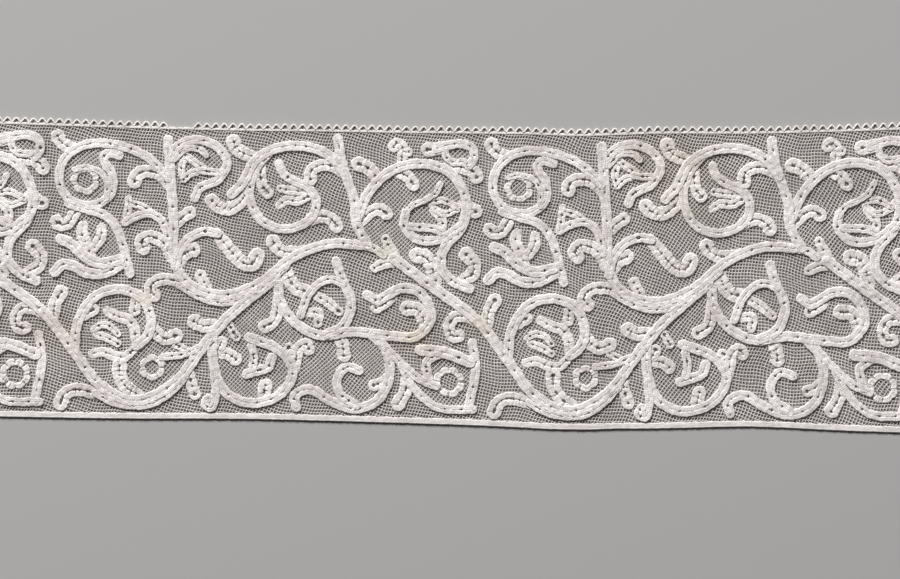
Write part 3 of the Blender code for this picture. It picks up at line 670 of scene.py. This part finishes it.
def petal_parts():
    """The arms of calyxes and tulips, fullest in the middle by a sine, with pinholes, and the rosettes."""
    for index, (width, stations) in enumerate(PETALS):
        line = smooth(stations)
        swell = np.sin(np.linspace(*PETAL_SPAN, len(line)) * math.pi)
        halves = PETAL_WIDER * width / 2 * (PETAL_ROOT + PETAL_SWELL * swell)
        for shift in repeats(line):
            seed = abs(7000 + 100 * index + int(shift))
            for run, run_halves in inside_cut(line + [shift, 0], halves):
                yield leafy(run, run_halves, 2 * LEAF_PINS, LEAF_TOP, seed)
    for u, v, radius, width, petals in ROSETTES:
        for shift in repeats(np.array([[u - radius, v], [u + radius, v]])):
            yield rosette(u + shift, v, radius, width, petals, LEAF_TOP, abs(int(100 * u + shift)))


def leaf_parts():
    """The leaves: two strands with a row of pinholes between, round a curled tip."""
    for index, (width, stations) in enumerate(LEAVES):
        line = smooth(stations)
        halves = leaf_halves(width, len(line))
        top = LEAF_TOP + STEP_UP * (index % 3)
        for shift in repeats(line):
            seed = abs(3000 + 100 * index + int(shift))
            for run, run_halves in inside_cut(line + [shift, 0], halves):
                yield leafy(run, run_halves, LEAF_PINS, top, seed)


def thread_corners(at, left, z, fullness):
    """Three corners round each place of a thread: low on its right, above, and low on its left."""
    side = NET_THREAD / 2 * fullness * left
    rise = NET_HEIGHT / 2 * fullness
    z = np.broadcast_to(z, at.shape[:-1])[..., None]
    corners = [
        np.concatenate([at - side, z - rise / 2], axis=-1),
        np.concatenate([at, z + rise], axis=-1),
        np.concatenate([at + side, z - rise / 2], axis=-1),
    ]
    return np.stack(corners, axis=-2)


def braid_depth():
    """How deep each cell of the chart lies inside the braids, in millimetres: the most, over all places on
    their middle lines, of half the width there less the distance to it."""
    lines = []
    for width, stations in STEMS + PETALS:
        line = smooth(stations)
        lines.append((line, np.full(len(line), WIDER * width / 2)))
    for width, stations in LEAVES:
        line = smooth(stations)
        lines.append((line, WIDER * leaf_halves(width, len(line))))
    for u, v, radius, width, _ in ROSETTES:
        turn = np.linspace(0, 2 * math.pi, int(2 * math.pi * radius / SAMPLE))
        ring = np.stack([u + radius * np.cos(turn), v + radius * np.sin(turn)], axis=1)
        lines.append((ring, np.full(len(ring), width / 2)))
    columns, rows = int(LENGTH / CELL), int(DEPTH / CELL)
    depth = np.full((columns, rows), FAR_OUTSIDE)
    window = np.arange(-CELL_REACH, CELL_REACH + 1)
    for line, halves in lines:
        for shift in repeats(line):
            u = line[::2, 0, None, None] + shift - FIRST_U
            v = line[::2, 1, None, None]
            column = np.floor(u / CELL).astype(int) + window[:, None]
            row = np.floor(v / CELL).astype(int) + window
            away = np.hypot((column + 0.5) * CELL - u, (row + 0.5) * CELL - v)
            value = halves[::2, None, None] - away
            column, row = np.broadcast_arrays(column, row)
            inside = (column >= 0) & (column < columns) & (row >= 0) & (row < rows)
            np.maximum.at(depth, (column[inside], row[inside]), value[inside])
    return depth


def compartments(depth):
    """A number for each stretch of open ground that braids close in, spread a little way under their rims.
    Every cell starts with a number of its own, and each open run along and across takes its highest until
    none changes."""
    number = np.arange(1.0, depth.size + 1).reshape(depth.shape)
    open_ground = depth < OPEN_GROUND
    open_ground[[0, -1]] = False
    open_ground[:, [0, -1]] = False
    number[~open_ground] = 0
    before = None
    while before is None or (before != number).any():
        before = number.copy()
        for axis in (0, 1):
            cells = np.ascontiguousarray(np.moveaxis(number, axis, -1))
            flat = cells.ravel()
            is_open = flat > 0
            starts = np.concatenate([[0], np.flatnonzero(is_open[1:] != is_open[:-1]) + 1])
            highest = np.maximum.reduceat(flat, starts)
            lengths = np.diff(np.append(starts, len(flat)))
            number = np.moveaxis(np.repeat(highest, lengths).reshape(cells.shape), -1, axis)
    number = number.astype(int)
    for _ in range(math.ceil(NET_UNDER_BRAID / CELL)):
        wider = number
        for axis in (0, 1):
            for step in (-1, 1):
                wider = np.maximum(wider, np.roll(number, step, axis))
        number = np.where(number > 0, number, wider)
    return number


def net_angle(v, seed):
    """The way a compartment's rows run, in degrees: on the slant below the heading and by the foot, and
    anything from level to the slant between braids."""
    if v > HEAD_GROUND_V or v < FOOT_GROUND_V:
        return NET_SLANT
    rng = np.random.default_rng(seed)
    return float(NET_SLANT * rng.choice(NET_TURNS) + rng.uniform(-TURN_STRAY, TURN_STRAY))


def bends(across, waves, phase):
    """How far rows bend at places across them, in parts of NET_BEND: a long sine and some of a short one."""
    long, short = waves
    return np.sin(across / long + phase[0]) + SHORT_SHARE * np.sin(across / short + phase[1])


def net_lattices():
    """Each compartment's lattice of crossings as places in u and v, with which of them lie in its ground and
    which way each is woven. The rows bend gently by slow sines, each crossing strays a little, and the last
    ones by the foot and the head are drawn in under the foot tape and the heading, so that no gap shows."""
    number = compartments(braid_depth())
    place = np.indices(number.shape)
    chosen = number > 0
    order = np.argsort(number[chosen], kind="stable")
    labels = number[chosen][order]
    columns, rows = place[0][chosen][order], place[1][chosen][order]
    starts = np.flatnonzero(np.diff(labels, prepend=0))
    ends = np.append(starts[1:], len(labels))
    for start, end in zip(starts, ends):
        label = labels[start]
        u = FIRST_U + (columns[start:end] + 0.5) * CELL
        v = (rows[start:end] + 0.5) * CELL
        middle = np.array([u.mean(), v.mean()])
        seed = int(middle[0] * 7 + middle[1] * 131)
        rng = np.random.default_rng(seed)
        angle = math.radians(net_angle(middle[1], seed))
        turn = np.array([[math.cos(angle), math.sin(angle)], [-math.sin(angle), math.cos(angle)]])
        pitch = NET_PITCH * rng.uniform(*PITCH_SPREAD)
        reach = np.hypot(u - middle[0], v - middle[1]).max() + 2 * NET_PITCH
        count = math.ceil(reach / pitch)
        i, j = np.meshgrid(np.arange(-count, count + 1), np.arange(-count, count + 1), indexing="ij")
        at = middle + pitch * (i[..., None] * turn[0] + j[..., None] * turn[1])
        phase = rng.uniform(0, 2 * math.pi, 4)
        bend_u = bends(at[..., 1], BENDS_U, phase[:2])
        bend_v = bends(at[..., 0], BENDS_V, phase[2:])
        at = at + NET_BEND * np.stack([bend_u, bend_v], axis=-1) + rng.normal(0, NET_STRAY, at.shape)
        inside = (at[..., 1] > CLOTH_FOOT_V - NET_PAST) & (at[..., 1] < CLOTH_HEAD_V + NET_PAST)
        at[..., 1] = np.clip(at[..., 1], CLOTH_FOOT_V - NET_UNDER_FOOT, CLOTH_HEAD_V + NET_UNDER_HEADING)
        column = np.floor((at[..., 0] - FIRST_U) / CELL).astype(int)
        row = np.floor(at[..., 1] / CELL).astype(int)
        inside &= (column >= 0) & (column < number.shape[0])
        found = number[np.clip(column, 0, number.shape[0] - 1), np.clip(row, 0, number.shape[1] - 1)]
        yield at, inside & (found == label), np.where((i + j) % 2 == 0, 1.0, -1.0)


def net_rows(at, inside, over, low, high):
    """The threads that run along a lattice's first axis, between u = low and u = high: three-cornered,
    fuller at each crossing and thinner half way to the next, over or under the thread that crosses them by
    turns."""
    between = (at[:-1] + at[1:]) / 2
    joined = inside[:-1] & inside[1:] & (between[..., 0] >= low) & (between[..., 0] < high)
    if not joined.any():
        return None
    left = left_of(at)
    left_between = (left[:-1] + left[1:]) / 2
    crossings = thread_corners(at, left, NET_MIDDLE + NET_WEAVE * over, CROSSING_FULLNESS)
    middles = thread_corners(between, left_between, NET_MIDDLE, SPAN_FULLNESS)
    points = np.vstack([crossings.reshape(-1, 3), middles.reshape(-1, 3)])
    here = np.arange(3)
    after = (here + 1) % 3
    crossing = 3 * np.arange(inside.size).reshape(inside.shape)
    middle = 3 * inside.size + 3 * np.arange(joined.size).reshape(joined.shape)
    quads = []
    for first, second in ((crossing[:-1][joined], middle[joined]), (middle[joined], crossing[1:][joined])):
        first, second = first[:, None], second[:, None]
        corners = [first + here, second + here, second + after, first + after]
        quads.append(np.stack(corners, axis=2).reshape(-1, 4))
    edge = np.zeros((1, inside.shape[1]), bool)
    leaves = np.vstack([joined, edge])
    arrives = np.vstack([edge, joined])
    quads.append(crossing[leaves & ~arrives][:, None] + here)
    quads.append(crossing[arrives & ~leaves][:, None] + here[::-1])
    return points, quads, points[:, :2]


def net_parts(lattices, low, high):
    """The threads both ways of every lattice between u = low and u = high."""
    for at, inside, over in lattices:
        rows = net_rows(at, inside, over, low, high)
        columns = net_rows(at.transpose(1, 0, 2), inside.T, -over.T, low, high)
        for part in (rows, columns):
            if part:
                yield part


def straight(v, half, top, section, seed, step):
    """A woven strip along the whole band at v, up to its cut ends."""
    line = np.array([[FIRST_U + END_INSET, v], [FIRST_U + LENGTH - END_INSET, v]])
    return woven(line, np.full(2, half), np.full(2, top), section, seed, step)


def foot_part():
    """The tape along the foot: a strip with ribs along it and a cord down its outer edge."""
    middle = (TAPE_FOOT_V + CLOTH_FOOT_V - GAP) / 2
    half = (CLOTH_FOOT_V - GAP - TAPE_FOOT_V) / 2 + FOOT_WIDER
    return straight(middle, half, FOOT_TOP, FOOT_SECTION, 9001, FOOT_STEP)


def edging_parts():
    """The heading, a narrow flat braid, and the zigzag of thread loops on it: straight legs that meet in
    round tips, the height of each as a hyperbola over the pitch, and none over the worn stretch."""
    cord_v = CLOTH_HEAD_V + GAP + HEADING_WIDTH / 2
    half = HEADING_WIDTH / 2 + HEADING_WIDER
    yield straight(cord_v - HEADING_DROP, half, HEADING_TOP, HEADING_SECTION, 9100, LEAF_STEP)
    count = int((LENGTH - 1.0) / LOOP_PITCH)
    first = FIRST_U + (LENGTH - count * LOOP_PITCH) / 2
    middles = first + LOOP_PITCH * (np.arange(count) + 0.5)
    bare = np.flatnonzero((middles > WORN_FROM_U) & (middles < WORN_TO_U))
    for index, (start, end) in enumerate(((0, bare[0]), (bare[-1] + 1, count))):
        share = np.arange(0, end - start + 1e-6, 1 / LOOP_STEPS)
        steady = 2 * (share % 1) - 1
        least = math.sqrt(LOOP_ROUND)
        rise = 1 - (np.sqrt(steady ** 2 + LOOP_ROUND) - least) / (math.sqrt(1 + LOOP_ROUND) - least)
        stray = waver(share * LOOP_PITCH, 9200 + index, LOOP_WAVES)
        v = cord_v + LOOP_ROOT + LOOP_REACH * rise * (1 + LOOP_UNEVEN * stray)
        u = first + LOOP_PITCH * (start + share) + LOOP_LEAN * np.roll(stray, LEAN_SHIFT) * rise
        z = CORD_MIDDLE + LOOP_CROSS * np.cos(math.pi * share)
        yield thread(np.stack([u, v], axis=1), z, LOOP_THREAD / 2, 9300)


def piece_of(name, parts, material):
    """One object from parts in the chart's millimetres: its points are drawn in to the cut ends and put on
    the table, points that no face uses are left out, and its UV map holds millimetres along and across the
    thread."""
    points, faces, maps, first = [], [], [], 0
    for part_points, part_faces, part_map in parts:
        points.append(part_points)
        faces += [group + first for group in part_faces]
        maps.append(part_map)
        first += len(part_points)
    corners = np.concatenate([group.ravel() for group in faces])
    sizes = np.concatenate([np.full(len(group), group.shape[1]) for group in faces])
    used, corners = np.unique(corners, return_inverse=True)
    chart = np.vstack(points)[used]
    chart[:, 0] = np.clip(chart[:, 0], FIRST_U, FIRST_U + LENGTH)
    places = on_table(chart)
    thread_map = np.vstack(maps)[used]
    mesh = bpy.data.meshes.new(name)
    mesh.vertices.add(len(places))
    mesh.vertices.foreach_set("co", places.ravel())
    mesh.loops.add(len(corners))
    mesh.loops.foreach_set("vertex_index", corners.ravel())
    mesh.polygons.add(len(sizes))
    mesh.polygons.foreach_set("loop_start", np.concatenate([[0], np.cumsum(sizes)[:-1]]))
    mesh.update(calc_edges=True)
    mesh.validate()
    layer = mesh.uv_layers.new(name="thread_mm")
    layer.data.foreach_set("uv", thread_map[corners.ravel()].ravel())
    mesh.polygons.foreach_set("use_smooth", np.ones(len(sizes), bool))
    mesh.materials.append(material)
    piece = bpy.data.objects.new(name, mesh)
    bpy.context.scene.collection.objects.link(piece)
    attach(piece, "root")
    return piece


def linear(colour):
    """An sRGB hex colour as linear red, green, blue and alpha."""
    values = [int(colour[i:i + 2], 16) / 255 for i in (0, 2, 4)]
    return [c / 12.92 if c <= 0.04045 else ((c + 0.055) / 1.055) ** 2.4 for c in values] + [1.0]


def add(nodes, kind, settings=(), **inputs):
    """Adds a node with its settings, and sets or links its inputs by name, or by number as _0, _1."""
    node = nodes.nodes.new(kind)
    for name, value in dict(settings).items():
        setattr(node, name, value)
    for name, value in inputs.items():
        key = int(name[1:]) if name[0] == "_" else name.replace("_", " ")
        if isinstance(value, bpy.types.NodeSocket):
            nodes.links.new(value, node.inputs[key])
        else:
            node.inputs[key].default_value = value
    return node


def calc(nodes, operation, *values):
    """The result of a math node on values or sockets."""
    inputs = {f"_{index}": value for index, value in enumerate(values)}
    return add(nodes, "ShaderNodeMath", {"operation": operation}, **inputs).outputs[0]


def linen(name, light, dark, ribs, picks, depth, roughness):
    """Old bleached linen: matt and a little fuzzy. Its white is mottled over 3 mm and 20 mm and streaked
    along the thread, age has tinted it in the STAINS, and ribs along, picks across and slubs stand up by
    depth. Ribs, picks and depth are in millimetres, coarser than the real 0.3 mm threads so that they
    show."""
    material = bpy.data.materials.new(name)
    material.use_nodes = True
    nodes = material.node_tree
    shader = nodes.nodes["Principled BSDF"]
    where = add(nodes, "ShaderNodeTexCoord").outputs
    fine = add(nodes, "ShaderNodeTexNoise", Vector=where["Object"], Scale=FINE_MOTTLE, Detail=5.0,
               Roughness=0.62)
    broad = add(nodes, "ShaderNodeTexNoise", Vector=where["Object"], Scale=BROAD_MOTTLE, Detail=2.0)
    drawn_out = add(nodes, "ShaderNodeMapping", Vector=where["UV"], Scale=(0.25, 1.1, 1.0))
    streak = add(nodes, "ShaderNodeTexNoise", Vector=drawn_out.outputs[0], Scale=1.0, Detail=2.0)
    mottle = calc(nodes, "ADD", fine.outputs["Fac"], streak.outputs["Fac"])
    both = calc(nodes, "ADD", mottle, broad.outputs["Fac"])
    share = add(nodes, "ShaderNodeMapRange", Value=both, From_Min=DARKEST, From_Max=LIGHTEST)
    colour = add(nodes, "ShaderNodeMix", {"data_type": "RGBA"}, _0=share.outputs[0], _6=linear(dark),
                 _7=linear(light)).outputs[2]
    for u, v, radius, tint, strength in STAINS:
        reach = radius / 1000
        spot = on_table(np.array([[u, v, STAIN_HEIGHT]]))[0]
        away = add(nodes, "ShaderNodeVectorMath", {"operation": "DISTANCE"}, _0=where["Object"], _1=spot)
        ragged = calc(nodes, "MULTIPLY_ADD", broad.outputs["Fac"], 1.2 * reach, away.outputs["Value"])
        near = add(nodes, "ShaderNodeMapRange", {"interpolation_type": "SMOOTHSTEP"}, Value=ragged,
                   From_Min=0.5 * reach, From_Max=1.6 * reach, To_Min=strength, To_Max=0.0)
        colour = add(nodes, "ShaderNodeMix", {"data_type": "RGBA", "blend_type": "MULTIPLY"},
                     _0=near.outputs[0], _6=colour, _7=linear(tint)).outputs[2]
    nodes.links.new(colour, shader.inputs["Base Color"])
    waves = []
    for way, scale in (("X", (WAVE_PERIOD / picks, 1.0, 1.0)), ("Y", (1.0, WAVE_PERIOD / ribs, 1.0))):
        drawn = add(nodes, "ShaderNodeMapping", Vector=where["UV"], Scale=scale).outputs[0]
        wave = add(nodes, "ShaderNodeTexWave", {"bands_direction": way}, Vector=drawn, Scale=1.0,
                   Distortion=0.0)
        waves.append(wave.outputs["Fac"])
    fuzz = add(nodes, "ShaderNodeTexNoise", Vector=where["Object"], Scale=FUZZ, Detail=2.0)
    slubs = calc(nodes, "MULTIPLY_ADD", fine.outputs["Fac"], SLUB_SHARE, fuzz.outputs["Fac"])
    height = calc(nodes, "MULTIPLY_ADD", calc(nodes, "ADD", *waves), WEAVE_SHARE, slubs)
    bump = add(nodes, "ShaderNodeBump", Strength=1.0, Distance=depth / 1000, Height=height)
    nodes.links.new(bump.outputs[0], shader.inputs["Normal"])
    shader.inputs["Roughness"].default_value = roughness
    shader.inputs["Specular IOR Level"].default_value = 0.3
    return material


# The net, the strips and the edging, each in its own linen.
net_linen = linen("plaited_linen_net", "E4DDD9", "C8C1BD", 0.5, 0.7, 0.02, 0.9)
tape_linen = linen("woven_linen_tape", "F7F1EF", "CBC3C0", 0.9, 1.1, 0.1, 0.82)
leaf_linen = linen("clothwork_linen_leaf", "F7F1EE", "CDC5C2", 0.85, 1.0, 0.1, 0.84)
foot_linen = linen("ribbed_linen_foot_tape", "EEE8E5", "D2CBC7", 0.8, 0.9, 0.05, 0.85)
cord_linen = linen("twisted_linen_thread", "EEE8E4", "D6CFCB", 0.6, 0.8, 0.03, 0.8)

stems = [piece_of(f"stem_tapes_{index + 1}", stem_parts(first, last), tape_linen)
         for index, (first, last) in enumerate(((0, STEM_SPLIT), (STEM_SPLIT, len(STEMS))))]
petals = piece_of("petals_and_rosettes", petal_parts(), leaf_linen)
leaves = piece_of("pinhole_leaves", leaf_parts(), leaf_linen)
foot = piece_of("foot_tape_woven", [foot_part()], foot_linen)
edging = piece_of("heading_and_loops", edging_parts(), cord_linen)

lattices = list(net_lattices())
nets = []
for index in range(NET_PIECES):
    low = FIRST_U + LENGTH * index / NET_PIECES
    high = FIRST_U + LENGTH * (index + 1) / NET_PIECES
    nets.append(piece_of(f"net_ground_{index + 1}", net_parts(lattices, low, high), net_linen))


def surface_area(piece):
    """A piece's whole surface in square metres."""
    areas = np.zeros(len(piece.data.polygons))
    piece.data.polygons.foreach_get("area", areas)
    return float(areas.sum())


for net in nets:
    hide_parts("lace_cloth")
    surface_area(net) / 2
for piece in (*stems, petals, leaves):
    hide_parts("lace_cloth")
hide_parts("foot_tape")
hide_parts("loop_edging")


# A plain pale table, matt, with the band lying on it.
table_mesh = bpy.data.meshes.new("table_top")
table_corners = [(TABLE_HALF * x, TABLE_HALF * y, 0) for x, y in ((-1, -1), (1, -1), (1, 1), (-1, 1))]
table_mesh.from_pydata(table_corners, [], [(0, 1, 2, 3)])
table = bpy.data.objects.new("table_top", table_mesh)
bpy.context.scene.collection.objects.link(table)
card = bpy.data.materials.new("matt_grey_card")
card.use_nodes = True
card_shader = card.node_tree.nodes["Principled BSDF"]
card_shader.inputs["Base Color"].default_value = linear(TABLE_COLOUR)
card_shader.inputs["Roughness"].default_value = 0.95
card_shader.inputs["Specular IOR Level"].default_value = 0.2
table_mesh.materials.append(card)


def soft_light(name, at, size, power):
    """A square area light at a place, turned towards the middle of the band."""
    lamp = bpy.data.lights.new(name, "AREA")
    lamp.size = size
    lamp.energy = power
    light = bpy.data.objects.new(name, lamp)
    light.location = at
    light.rotation_euler = (-light.location).to_track_quat("-Z", "Y").to_euler()
    bpy.context.scene.collection.objects.link(light)


# A large key light that rakes across the threads from the head side, and a faint fill.
soft_light("key_light", (-1.9, 4.4, 3.1), 1.9, 530.0)
soft_light("fill_light", (0.9, -0.6, 1.3), 1.0, 0.6)
world = bpy.data.worlds.new("soft_room")
world.use_nodes = True
world.node_tree.nodes["Background"].inputs["Color"].default_value = linear("E8EAEE")
world.node_tree.nodes["Background"].inputs["Strength"].default_value = 0.06
bpy.context.scene.world = world
bpy.context.scene.view_settings.view_transform = "Standard"

lens = bpy.data.cameras.new("overhead")
lens.sensor_width = 36.0
lens.lens = LENS
camera = bpy.data.objects.new("overhead", lens)
camera.location = (0.0, CAMERA_Y, CAMERA_HEIGHT)
bpy.context.scene.collection.objects.link(camera)
bpy.context.scene.camera = camera
